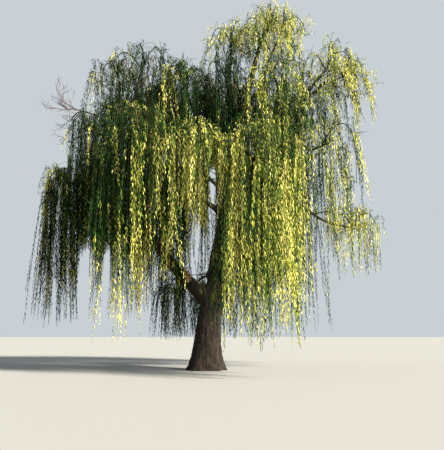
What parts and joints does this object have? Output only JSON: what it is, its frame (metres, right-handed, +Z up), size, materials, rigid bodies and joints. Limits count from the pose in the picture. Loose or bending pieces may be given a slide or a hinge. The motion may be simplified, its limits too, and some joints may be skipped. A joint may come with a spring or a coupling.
{
  "type": "weeping willow tree",
  "caption": "Mature weeping willow: a flared leaning trunk forks into boughs that arch out and carry hanging curtains of narrow leaves.",
  "frame": {"origin": "centre of the flat cut under the trunk, at ground level", "axes": "+Z up, +X to the right and -Y towards the viewer of the picture"},
  "size_m": [16.4388, 16.7224, 17.4735],
  "materials": {
    "bark": "rough, deeply furrowed grey-brown bark",
    "dead_wood": "bare weathered twig",
    "leaves_sunlit": "yellow-green willow leaves, slightly glossy",
    "leaves_shaded": "deep green willow leaves, slightly glossy"
  },
  "bodies": {
    "root": {"back_crown_foliage": "leaves_shaded", "back_left_bough": "bark", "back_left_foliage": "leaves_shaded", "back_limb": "bark", "back_right_bough": "bark", "back_right_foliage": "leaves_sunlit", "centre_stem": "bark", "dead_bough": "dead_wood", "dead_twigs": "dead_wood", "far_left_bough": "bark", "far_left_curtain": "leaves_shaded", "far_right_bough": "bark", "far_right_foliage": "leaves_sunlit", "front_bough": "bark", "front_centre_bough": "bark", "front_centre_foliage": "leaves_sunlit", "front_curtain": "leaves_sunlit", "front_left_bough": "bark", "front_left_curtain": "leaves_sunlit", "front_right_bough": "bark", "front_right_curtain": "leaves_sunlit", "left_bough": "bark", "left_crown_foliage": "leaves_shaded", "left_foliage": "leaves_shaded", "left_front_bough": "bark", "left_front_curtain": "leaves_shaded", "left_limb": "bark", "low_rear_bough": "bark", "low_rear_foliage": "leaves_shaded", "low_right_bough": "bark", "low_right_foliage": "leaves_sunlit", "mid_right_bough": "bark", "mid_right_foliage": "leaves_sunlit", "rear_bough": "bark", "rear_curtain": "leaves_shaded", "rear_left_bough": "bark", "rear_left_curtain": "leaves_shaded", "rear_right_bough": "bark", "rear_right_curtain": "leaves_sunlit", "right_stem": "bark", "top_foliage": "leaves_sunlit", "top_left_bough": "bark", "top_left_foliage": "leaves_sunlit", "top_right_bough": "bark", "top_right_foliage": "leaves_sunlit", "trunk": "bark", "upper_back_left_bough": "bark", "upper_back_left_foliage": "leaves_shaded", "upper_back_right_bough": "bark", "upper_back_right_foliage": "leaves_sunlit", "upper_front_bough": "bark", "upper_front_foliage": "leaves_sunlit", "upper_front_left_bough": "bark", "upper_front_left_foliage": "leaves_shaded", "upper_front_right_bough": "bark", "upper_front_right_foliage": "leaves_sunlit", "upper_left_bough": "bark", "upper_left_foliage": "leaves_shaded", "upper_right_foliage": "leaves_sunlit"}
  },
  "joints": []
}
